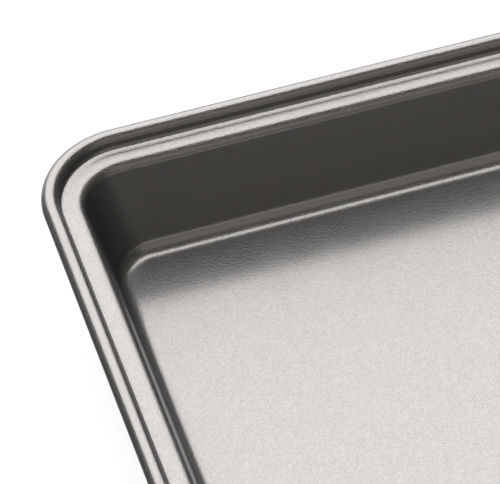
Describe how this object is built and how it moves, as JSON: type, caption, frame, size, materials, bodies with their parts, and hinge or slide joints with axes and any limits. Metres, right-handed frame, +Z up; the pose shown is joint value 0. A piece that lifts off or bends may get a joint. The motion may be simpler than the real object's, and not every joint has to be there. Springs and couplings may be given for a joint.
{
  "type": "brownie pan",
  "caption": "Rectangular pressed steel brownie pan with sloping walls, rounded corners, a narrow flat ledge and a rim rolled over a wire, coated dark metallic grey.",
  "frame": {"origin": "middle of the pan's flat underside", "axes": "+X along the long sides, +Y along the short sides, +Z up out of the open top"},
  "size_m": [0.34, 0.2, 0.038],
  "materials": {
    "coated_steel": "satin metallic grey non-stick coating with a fine grain over pressed steel",
    "wire_steel": "plain drawn steel wire"
  },
  "bodies": {
    "root": {"pan_shell": "coated_steel", "rim_wire": "wire_steel"}
  },
  "joints": []
}
